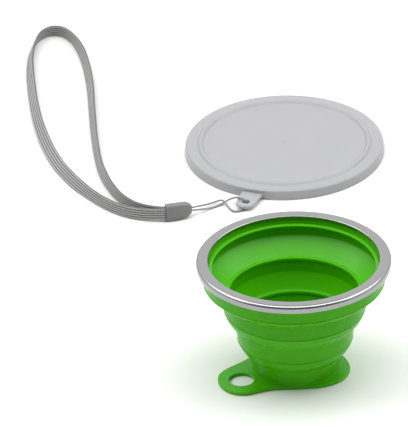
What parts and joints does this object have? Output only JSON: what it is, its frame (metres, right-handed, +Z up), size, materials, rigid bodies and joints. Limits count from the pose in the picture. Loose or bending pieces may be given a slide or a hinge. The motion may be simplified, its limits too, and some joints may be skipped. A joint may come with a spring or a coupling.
{
  "type": "collapsible travel cup",
  "caption": "Open folding silicone drinking cup with a steel rim and hanging tab, its translucent push-fit lid, and a woven wrist strap tied to the lid.",
  "frame": {"origin": "centre of the cup's underside, on the table that the cup stands on", "axes": "+Z up along the cup's axis, front of the cup towards -Y; the lid and strap lie behind it, towards +Y"},
  "size_m": [0.1709, 0.3685, 0.058],
  "materials": {
    "steel": "rolled and satin polished",
    "silicone": "moulded, silky matt",
    "lid_plastic": "moulded, frosted translucent",
    "clamp_plastic": "moulded, satin",
    "webbing": "ribbed weave",
    "string": "braided"
  },
  "bodies": {
    "base": {"cup_base": "silicone", "lower_fold": "silicone"},
    "lower_stage": {"lower_band": "silicone", "middle_fold": "silicone"},
    "middle_stage": {"middle_band": "silicone", "upper_fold": "silicone"},
    "rim_stage": {"upper_band": "silicone", "steel_rim": "steel"},
    "lid": {"lid": "lid_plastic", "strap_clamp": "clamp_plastic", "strap_webbing": "webbing", "strap_string": "string"}
  },
  "joints": [
    {"name": "lower_collapse", "type": "slide", "parent": "base", "child": "lower_stage", "axis": [0, 0, -1], "range_m": [0, 0.0148], "deforming": ["lower_fold"]},
    {"name": "middle_collapse", "type": "slide", "parent": "lower_stage", "child": "middle_stage", "axis": [0, 0, -1], "range_m": [0, 0.015], "deforming": ["middle_fold"]},
    {"name": "rim_collapse", "type": "slide", "parent": "middle_stage", "child": "rim_stage", "axis": [0, 0, -1], "range_m": [0, 0.0134], "deforming": ["upper_fold"]},
    {"name": "lid_lift", "type": "slide", "parent": "base", "child": "lid", "axis": [0, 0, 1], "range_m": [0, 0.08]}
  ]
}
